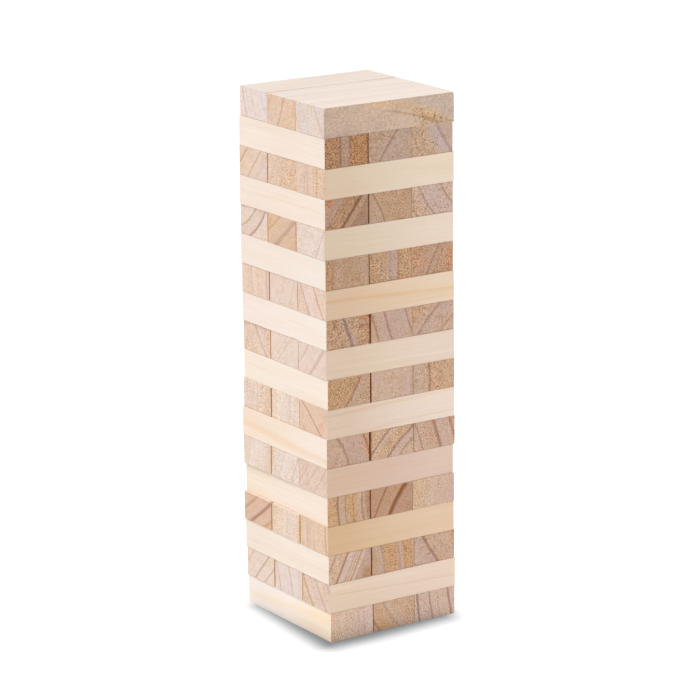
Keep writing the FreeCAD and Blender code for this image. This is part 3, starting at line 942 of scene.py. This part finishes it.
def timber(name, short, half, along, rng):
    """One block's wood, the same all through: rings about a far pith."""
    material = bpy.data.materials.new(name)
    t = Tree(material)
    angle, curvature, rings = RINGS[short]
    phi = math.radians(angle)
    seed = rng.uniform(0, 900)
    hx, hy, hz = half

    coordinates = t.add("ShaderNodeTexCoord")
    place = t.vector("SCALE", coordinates.outputs["Object"], scale=1000.0)
    seeded = t.vector("ADD", place, (seed, seed * 0.37, seed * 0.71))
    split = t.add("ShaderNodeSeparateXYZ")
    t.put(split.inputs[0], place)
    x, y, z = split.outputs
    facing = t.add("ShaderNodeSeparateXYZ")
    t.put(facing.inputs[0], coordinates.outputs["Normal"])
    nx, ny, nz = facing.outputs
    is_end = t.span(t.math("ABSOLUTE", nx), 0.5, 0.8)

    # the grain wanders a little along the block
    bend = t.noise(t.vector("MULTIPLY", seeded, (0.004, 0.012, 0.012)), 1.0, 2.0, 0.5, True)
    wobble = t.noise(t.vector("MULTIPLY", seeded, (0.02, 0.11, 0.11)), 1.0, 2.0, 0.55, True)
    bend_parts = t.add("ShaderNodeSeparateXYZ")
    t.put(bend_parts.inputs[0], t.vector(
        "ADD",
        t.vector("SCALE", t.vector("SUBTRACT", bend, (0.5, 0.5, 0.5)), scale=7.0),
        t.vector("SCALE", t.vector("SUBTRACT", wobble, (0.5, 0.5, 0.5)), scale=2.2)))
    u = t.math("SUBTRACT", bend_parts.outputs[1], y)
    v = t.math("ADD", z, bend_parts.outputs[2])
    a = t.math("ADD", t.math("MULTIPLY", u, math.cos(phi)), t.math("MULTIPLY", v, math.sin(phi)))
    b = t.math("SUBTRACT", t.math("MULTIPLY", v, math.cos(phi)), t.math("MULTIPLY", u, math.sin(phi)))
    if abs(curvature) < 0.0006:
        s = a
    else:
        d = 1.0 / curvature
        far = t.math("SQRT", t.math("ADD", t.math("POWER", t.math("ADD", a, d), 2.0),
                                    t.math("POWER", b, 2.0)))
        s = t.math("SUBTRACT", far, d) if d > 0 else t.math("SUBTRACT", abs(d), far)
    across = t.span(s, -SPAN, SPAN, 0.0, 1.0, smooth=False)
    ring = t.ramp(across, ring_stops(rings, rng, curvature))

    # ---- sawn end
    tone = END_TONE[short]
    bands = BANDS.get(short, [(-20.0, (1.0, 1.0, 1.0)), (20.0, (1.0, 1.0, 1.0))])
    ragged = t.noise(t.vector("MULTIPLY", seeded, (0.02, 0.30, 0.30)), 1.0, 3.0, 0.65)
    edge = t.math("ADD", s, t.math("MULTIPLY", t.math("SUBTRACT", ragged, 0.5), 11.0))
    edge = t.span(edge, -SPAN, SPAN, 0.0, 1.0, smooth=False)
    end = t.ramp(edge, [((p + SPAN) / (2 * SPAN), scaled(tone, f)) for p, f in bands])
    golden = t.ramp(edge, [((p + SPAN) / (2 * SPAN), (min(1.0, max(0.0, (1.02 - f[2]) / 0.32)),) * 3)
                           for p, f in bands])
    growth = t.noise(t.vector("MULTIPLY", seeded, (0.01, 0.085, 0.085)), 1.0, 3.0, 0.6)
    end = t.mult(end, t.ramp(growth, [(0.30, (0.95, 0.91, 0.84)), (0.5, (1.0, 1.0, 1.0)),
                                      (0.70, (1.015, 1.03, 1.07))]), 0.9)
    # the saw tears the fibres: fine dark pits and light tufts, most of all
    # in the soft golden wood
    amount = SPECKLE.get(short, 0.5)
    pits = t.noise(t.vector("MULTIPLY", seeded, (0.4, 1.0, 1.0)), 0.55, 3.0, 0.78)
    clump = t.span(t.noise(t.vector("MULTIPLY", seeded, (0.01, 0.07, 0.07)), 1.0, 2.0, 0.5),
                   0.35, 0.65, 0.55, 1.25)
    torn = t.math("MULTIPLY", clump, t.math("MULTIPLY", t.math("ADD", t.math("MULTIPLY", golden, 0.75), 0.62), amount))
    pits_dark = t.span(pits, 0.52, 0.28)
    tufts = t.span(pits, 0.50, 0.72)
    end = t.mix(t.math("MULTIPLY", pits_dark, torn, clamp=True), end,
                t.mix(1.0, end, (0.44, 0.335, 0.235, 1.0), "MULTIPLY"))
    end = t.mix(t.math("MULTIPLY", tufts, torn, clamp=True), end,
                t.mix(1.0, end, (1.40, 1.37, 1.27, 1.0), "MULTIPLY"))
    tilt, lines = SAW_LINES.get(short, (rng.uniform(-6.0, 9.0), 0.45))
    ct, st = math.cos(math.radians(tilt)), math.sin(math.radians(tilt))
    rise = t.math("SUBTRACT", t.math("MULTIPLY", v, ct), t.math("MULTIPLY", u, st))
    run = t.math("ADD", t.math("MULTIPLY", u, ct), t.math("MULTIPLY", v, st))
    lay = t.add("ShaderNodeCombineXYZ")
    t.put(lay.inputs[0], t.math("MULTIPLY", run, 0.055))
    t.put(lay.inputs[1], t.math("MULTIPLY", rise, 0.42))
    t.put(lay.inputs[2], seed)
    hatch = t.noise(lay.outputs[0], 1.0, 2.0, 0.6)
    end = t.mult(end, t.ramp(hatch, [(0.30, (0.88, 0.85, 0.82)), (0.5, (1.0, 1.0, 1.0)),
                                     (0.70, (1.05, 1.05, 1.06))]), lines)
    for pu, pv, size, factor, strength in PATCHES.get(short, []):
        near = t.math("SQRT", t.math("ADD",
                                     t.math("POWER", t.math("SUBTRACT", u, pu), 2.0),
                                     t.math("POWER", t.math("SUBTRACT", v, pv), 2.0)))
        near = t.math("ADD", near, t.math("MULTIPLY", t.math("SUBTRACT", ragged, 0.5), 0.9 * size))
        end = t.mix(t.span(near, size, 0.3 * size, 0.0, strength), end,
                    t.mix(1.0, end, rgba(factor), "MULTIPLY"))
    end = t.mix(ring, end, t.mix(1.0, end, rgba(RING_TINTS.get(short, RING_TINT)), "MULTIPLY"))

    # ---- planed sides
    tone = SIDE_TONE[short]
    fibre = t.noise(t.vector("MULTIPLY", seeded, (0.012, 0.7, 0.7)), 1.0, 4.0, 0.62)
    broad = t.noise(t.vector("MULTIPLY", seeded, (0.006, 0.055, 0.055)), 1.0, 2.0, 0.5)
    to_right = 1.0 if along == "X" else -1.0
    if len(tone) == 3:
        # a board's colour drifts along its length, partly its own and partly painted light, lighter where more light
        # falls
        reach = t.span(t.math("MULTIPLY", x, to_right), -hx, hx, 0.0, 1.0, smooth=False)
        side = t.ramp(reach, [(0.17, tone[0]), (0.50, tone[1]), (0.83, tone[2])])
    else:
        side = t.ramp(broad, [(0.0, tone[0]), (1.0, tone[0])])
    side = t.mult(side, t.ramp(broad, [(0.30, (0.985, 0.965, 0.935)), (0.5, (1.0, 1.0, 1.0)),
                                       (0.70, (1.01, 1.02, 1.03))]))
    side = t.mult(side, t.ramp(fibre, [(0.28, (0.945, 0.930, 0.905)), (0.55, (1.0, 1.0, 1.0)),
                                       (0.75, (1.02, 1.02, 1.025))]), 0.9)
    if short.startswith("layer18"):
        # the top faces show their growth as soft tan stripes
        stripes = t.noise(t.vector("MULTIPLY", seeded, (0.003, 0.115, 0.115)), 1.0, 3.0, 0.55)
        side = t.mult(side, t.ramp(stripes, [(0.30, (0.93, 0.865, 0.80)), (0.46, (1.0, 1.0, 1.0)),
                                             (0.66, (1.01, 1.015, 1.02))]))
    side = t.mix(t.math("MULTIPLY", ring, 0.24), side,
                 t.mix(1.0, side, (0.83, 0.71, 0.60, 1.0), "MULTIPLY"))
    # the visible long side is -y on a block along X and +y on one along Y
    for left, right, width, factor in STREAKS.get(short, []):
        line = t.math("ADD", t.math("MULTIPLY", x, to_right * (right - left) / (2 * hx)),
                      (left + right) / 2)
        off = t.math("ABSOLUTE", t.math("SUBTRACT", v, line))
        on = t.math("MULTIPLY", t.span(off, width, 0.15 * width),
                    t.span(t.math("MULTIPLY", ny, -to_right), 0.3, 0.8))
        side = t.mix(on, side, t.mix(1.0, side, rgba(factor), "MULTIPLY"))

    # faces that lie against a neighbour get painted shade towards the ends, a warm brown darkening that shows in the
    # seams between blocks; the outer blocks' open side gets none
    if not short.endswith("middle"):
        open_side = -to_right if visible_side(short) else to_right
        face = t.span(t.math("MULTIPLY", ny, -open_side), 0.5, 0.8)
    elif along == "X":
        face = t.span(t.math("ABSOLUTE", ny), 0.5, 0.8)
    else:
        face = t.span(ny, 0.5, 0.8)
    seam_shade = t.math("MULTIPLY", face, t.span(t.math("ABSOLUTE", x), hx - 26.0, hx - 2.0, 0.0, 0.92), clamp=True)
    # tint of the painted seam shade: golden brown on blocks along X, dark brown on blocks along Y, a light warm tint
    # on the right blocks
    seam_shade_tint = (1.0, 0.76, 0.34, 1.0) if along == "X" else (0.56, 0.25, 0.09, 1.0)
    if short.endswith("right"):
        seam_shade_tint = (1.0, 0.90, 0.72, 1.0)
    # painted shade in the seams, growing over the last 26 mm towards each end
    side = t.mix(seam_shade, side, t.mix(1.0, side, seam_shade_tint, "MULTIPLY"))

    if short == "layer18_front":
        side = rough_side(t, side, end, seeded, x, v, ny, pits_dark, tufts)

    colour = t.mix(is_end, side, end)
    shader = t.add("ShaderNodeBsdfPrincipled")
    t.put(shader.inputs["Base Color"], colour)
    rough = t.math("ADD", t.math("MULTIPLY", is_end, 0.16),
                   t.span(fibre, 0.3, 0.7, 0.60, 0.50))
    t.put(shader.inputs["Roughness"], rough)
    shader.inputs["Specular IOR Level"].default_value = 0.32

    # ---- relief: torn fibres and saw lines on the ends, fine grain elsewhere
    saw = t.noise(t.vector("MULTIPLY", seeded, (0.3, 0.10, 1.0)), 0.9, 2.0, 0.5)
    end_height = t.math("ADD", t.math("MULTIPLY", pits, 0.9), t.math("MULTIPLY", saw, 0.5))
    fine = t.noise(t.vector("MULTIPLY", seeded, (0.05, 2.2, 2.2)), 1.0, 3.0, 0.6)
    side_height = t.math("ADD", t.math("MULTIPLY", fine, 0.12),
                         t.math("MULTIPLY", fibre, 0.18))
    height = t.math("ADD", t.math("MULTIPLY", end_height, is_end),
                    t.math("MULTIPLY", side_height, t.math("SUBTRACT", 1.0, is_end)))
    bump = t.add("ShaderNodeBump")
    bump.inputs["Strength"].default_value = 0.55
    bump.inputs["Distance"].default_value = 0.0004
    t.put(bump.inputs["Height"], height)
    t.put(shader.inputs["Normal"], bump.outputs[0])
    out = t.add("ShaderNodeOutputMaterial")
    t.put(out.inputs["Surface"], shader.outputs[0])
    return material


def rough_side(t, side, end, seeded, x, v, ny, pits_dark, tufts):
    """The top layer's front side was left off the saw: grey-brown, with a
    tan arc and a golden patch at the lower right."""
    tone = t.ramp(t.noise(t.vector("MULTIPLY", seeded, (0.022, 0.06, 0.06)), 1.0, 3.0, 0.6),
                  [(0.32, (0.575, 0.425, 0.335)), (0.5, (0.63, 0.475, 0.37)),
                   (0.68, (0.675, 0.505, 0.385))])
    grain = t.noise(t.vector("MULTIPLY", seeded, (0.42, 0.50, 0.58)), 1.0, 3.0, 0.78)
    # arc: from the top left of the middle, falling to the right
    arc = t.math("SUBTRACT", 14.5, t.math("MULTIPLY", t.math("POWER", t.math(
        "MAXIMUM", t.math("ADD", x, 34.0), 0.0), 2.0), 0.0019))
    below = t.math("SUBTRACT", arc, v)
    stripe = t.math("MULTIPLY", t.math("MULTIPLY", t.span(below, -7.0, -1.0), t.span(below, 7.0, 2.0)),
                    t.math("MULTIPLY", t.span(x, -48.0, -26.0), t.span(x, 92.0, 66.0)))
    tone = t.mix(t.math("MULTIPLY", stripe, 0.95), tone,
                 t.mix(1.0, tone, (1.11, 1.03, 0.86, 1.0), "MULTIPLY"))
    thin = t.math("MULTIPLY", t.span(t.math("ABSOLUTE", t.math("SUBTRACT", below, 8.5)), 2.6, 0.4),
                  t.math("MULTIPLY", t.span(x, -20.0, 0.0), t.span(x, 84.0, 60.0)))
    tone = t.mix(t.math("MULTIPLY", thin, 0.9), tone,
                 t.mix(1.0, tone, (0.86, 0.74, 0.64, 1.0), "MULTIPLY"))
    gold = t.math("MULTIPLY", t.span(x, 26.0, 52.0), t.span(below, -4.0, 5.0))
    tone = t.mix(t.math("MULTIPLY", gold, 0.9), tone,
                 t.mix(1.0, tone, (0.93, 0.83, 0.65, 1.0), "MULTIPLY"))
    tone = t.mult(tone, t.ramp(t.span(x, -92.0, 92.0, smooth=False), [
        (0.15, (0.94, 0.922, 0.925)), (0.5, (1.032, 1.024, 1.003)), (0.85, (0.92, 0.94, 0.97))]))
    torn = t.math("MINIMUM", t.math("ADD", 0.50, t.math("MULTIPLY", gold, 0.9)), 1.3)
    tone = t.mix(t.math("MULTIPLY", t.span(grain, 0.52, 0.28), torn, clamp=True), tone,
                 t.mix(1.0, tone, (0.30, 0.19, 0.10, 1.0), "MULTIPLY"))
    tone = t.mix(t.math("MULTIPLY", t.span(grain, 0.50, 0.72), torn, clamp=True), tone,
                 t.mix(1.0, tone, (1.45, 1.38, 1.22, 1.0), "MULTIPLY"))
    return t.mix(t.span(ny, -0.5, -0.8), side, tone)


# ------------------------------------------------------------------ pieces
pieces = []
for body, members in frame["record"]["behaviour"]["bodies"].items():
    for node in members:
        short = node.replace("_block", "")
        rng = random.Random("timber " + short)
        place, half, along = block_frame(node)
        nicks = []
        for _ in range(rng.choice((0, 1, 1, 2))):
            # a bruised spot somewhere along a long arris or at a corner
            sy, sz = rng.choice((-1, 1)), rng.choice((-1, 1))
            nicks.append(((rng.uniform(-0.98, 0.98) * half[0], sy * half[1], sz * half[2]),
                          rng.uniform(1.2, 2.4)))
        mesh = block_mesh(short + "_timber", half, rng, nicks)
        piece = bpy.data.objects.new(short + "_timber", mesh)
        bpy.context.scene.collection.objects.link(piece)
        piece.matrix_world = place
        mesh.materials.append(timber("timber_" + short, short, half, along, rng))
        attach(piece, body)
        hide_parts(node)
        pieces.append(piece)

# ------------------------------------------------------------------- stage
def floor_paper():
    """White paper on a light table, with a contact shadow painted into its colour and glow: close to the tower's foot
    the sheet greys off over about four centimetres."""
    material = bpy.data.materials.new("white_paper")
    t = Tree(material)
    coordinates = t.add("ShaderNodeTexCoord")
    split = t.add("ShaderNodeSeparateXYZ")
    t.put(split.inputs[0], t.vector("SCALE", coordinates.outputs["Object"], scale=1000.0))
    x, y, _ = split.outputs
    # painted contact shadow: how far a point lies out from a skewed outline of the tower's foot
    left = t.math("ADD", t.math("MULTIPLY", x, -1.18), t.math("MULTIPLY", y, 0.10))
    left = t.math("ADD", left, -95.5 * 1.18 + 95.0 * 0.10)
    near = t.math("SUBTRACT", t.math("MULTIPLY", t.math("MAXIMUM", t.math("ADD", x, 40.0), 0.0), 0.082),
                  t.math("ADD", y, 97.5))
    far_x = t.math("MULTIPLY", t.math("SUBTRACT", x, 75.0), 1.2)
    far_y = t.math("MULTIPLY", t.math("SUBTRACT", y, 66.0), 1.1)
    dx = t.math("MAXIMUM", t.math("MAXIMUM", left, far_x), 0.0)
    dy = t.math("MAXIMUM", t.math("MAXIMUM", near, far_y), 0.0)
    away = t.math("SQRT", t.math("ADD", t.math("POWER", dx, 2.0), t.math("POWER", dy, 2.0)))
    painted_shadow = t.ramp(t.span(away, 0.0, 48.0, smooth=False), [
        (0.0, (0.235, 0.242, 0.246)), (0.10, (0.275, 0.283, 0.288)), (0.19, (0.335, 0.344, 0.35)),
        (0.29, (0.425, 0.434, 0.44)), (0.41, (0.56, 0.567, 0.571)), (0.56, (0.73, 0.734, 0.737)),
        (0.75, (0.90, 0.902, 0.903)), (0.95, (1.0, 1.0, 1.0))])
    mottle = t.noise(coordinates.outputs["Object"], 3.0, 3.0, 0.5)
    paper = t.ramp(mottle, [(0.3, (0.15, 0.15, 0.151)), (0.7, (0.17, 0.17, 0.171))])
    shader = t.add("ShaderNodeBsdfPrincipled")
    # the painted shadow greys both the paper's colour and its glow
    t.put(shader.inputs["Base Color"], t.mix(1.0, paper, painted_shadow, "MULTIPLY"))
    t.put(shader.inputs["Emission Color"], painted_shadow)
    shader.inputs["Emission Strength"].default_value = 0.94
    shader.inputs["Roughness"].default_value = 0.9
    shader.inputs["Specular IOR Level"].default_value = 0.0
    out = t.add("ShaderNodeOutputMaterial")
    t.put(out.inputs["Surface"], shader.outputs[0])
    return material


# The paper runs far out and turns up into a low white wall all round, so
# that a low view has no horizon.
floor_mesh = bpy.data.meshes.new("floor")
REACH, WALL = 22.0, 2.9
corners = [(-REACH, -REACH), (REACH, -REACH), (REACH, REACH), (-REACH, REACH)]
floor_mesh.from_pydata([(a, b, 0) for a, b in corners] + [(a, b, WALL) for a, b in corners], [],
                       [(0, 1, 2, 3)] + [(i, (i + 1) % 4 + 4, i + 4) for i in range(4)]
                       + [(i, (i + 1) % 4, (i + 1) % 4 + 4) for i in range(4)])
floor = bpy.data.objects.new("floor", floor_mesh)
bpy.context.scene.collection.objects.link(floor)
floor.location = (0, 0, -0.0002)
floor_mesh.materials.append(floor_paper())

world = bpy.data.worlds.new("studio")
bpy.context.scene.world = world
world.use_nodes = True
sky = world.node_tree.nodes["Background"]
sky.inputs["Color"].default_value = (1.0, 1.0, 1.0, 1.0)
sky.inputs["Strength"].default_value = 0.25


def lamp(name, at, towards, width, height, watts, colour):
    data = bpy.data.lights.new(name, "AREA")
    data.shape = "RECTANGLE"
    data.size, data.size_y = width, height
    data.energy = watts
    data.color = colour
    obj = bpy.data.objects.new(name, data)
    bpy.context.scene.collection.objects.link(obj)
    obj.location = at
    obj.rotation_euler = (Vector(at) - Vector(towards)).to_track_quat("Z", "Y").to_euler()
    return obj


sun = bpy.data.lights.new("key", "SUN")
sun.energy = 2.92
sun.angle = math.radians(42.0)
sun.color = (0.985, 0.99, 1.0)
key = bpy.data.objects.new("key", sun)
bpy.context.scene.collection.objects.link(key)
key.rotation_euler = Vector((-0.469, 0.03, 0.883)).to_track_quat("Z", "Y").to_euler()
lamp("fill", (0.95, -0.66, 0.40), (0, -0.05, 0.33), 0.5, 1.3, 4.9, (1.0, 0.93, 0.84))

# ------------------------------------------------------------------ camera
WIDTH = 0.190                      # the tower's width, the unit of the view
camera_data = bpy.data.cameras.new("camera")
camera = bpy.data.objects.new("camera", camera_data)
bpy.context.scene.collection.objects.link(camera)
yaw, pitch, roll = 0.5861900, 0.2592661, -0.0071618
ahead = Vector((math.sin(yaw) * math.cos(pitch), math.cos(yaw) * math.cos(pitch), -math.sin(pitch)))
right = Vector((math.cos(yaw), -math.sin(yaw), 0.0))
up = right.cross(ahead)
right, up = (right * math.cos(roll) + up * math.sin(roll),
             up * math.cos(roll) - right * math.sin(roll))
eye = Vector((-11.660559, -17.581131, 7.385704)) * WIDTH + Vector((0.0002578, -0.0000952, 0.0))
camera.matrix_world = Matrix((
    (right.x, up.x, -ahead.x, eye.x),
    (right.y, up.y, -ahead.y, eye.y),
    (right.z, up.z, -ahead.z, eye.z),
    (0, 0, 0, 1),
))
camera_data.sensor_width = 36.0
camera_data.lens = 3312.983 * 36.0 / 700.0
camera_data.clip_start, camera_data.clip_end = 0.05, 200.0
bpy.context.scene.camera = camera

bpy.context.scene.view_settings.view_transform = "Standard"
bpy.context.scene.view_settings.look = "None"

bpy.context.view_layer.update()
